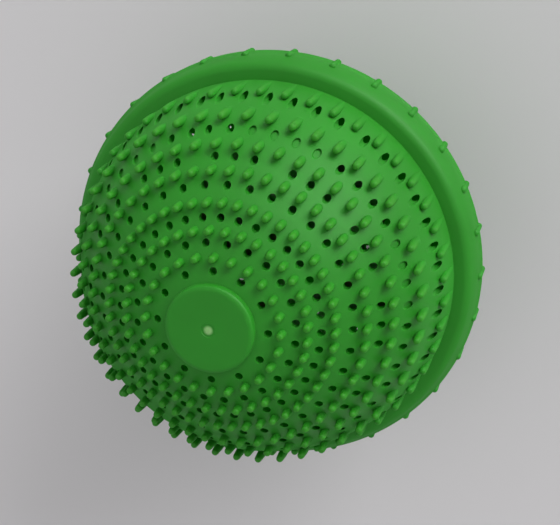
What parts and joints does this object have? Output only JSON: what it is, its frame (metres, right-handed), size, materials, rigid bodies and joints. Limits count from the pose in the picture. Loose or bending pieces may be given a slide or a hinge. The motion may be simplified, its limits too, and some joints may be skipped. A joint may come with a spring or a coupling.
{
  "type": "laundry wash ball",
  "caption": "Green perforated laundry ball of two nubbed half shells that pull apart at a wide equator band, with loose ceramic beads inside.",
  "frame": {"origin": "centre of the ball, in the joint plane of its two halves", "axes": "+Z along the pole axis towards the front half's disc, +X through a hole of the ring nearest that disc"},
  "size_m": [0.0992, 0.0992, 0.096],
  "materials": {
    "green_shell": "satin",
    "cap_plastic": "satin",
    "magnet": "sintered",
    "bead_white": "unglazed",
    "bead_grey": "unglazed",
    "bead_brown": "unglazed",
    "bead_green": "unglazed"
  },
  "bodies": {
    "rear_half": {"rear_shell": "green_shell", "rear_magnet": "magnet", "rear_magnet_cap": "cap_plastic", "white_ceramic_beads": "bead_white", "grey_ceramic_beads": "bead_grey", "brown_ceramic_beads": "bead_brown", "green_ceramic_beads": "bead_green"},
    "front_half": {"front_shell": "green_shell", "front_magnet": "magnet", "front_magnet_cap": "cap_plastic"}
  },
  "joints": [
    {"name": "halves_pull_apart", "type": "slide", "parent": "rear_half", "child": "front_half", "axis": [0, 0, 1], "range_m": [0, 0.06]}
  ]
}
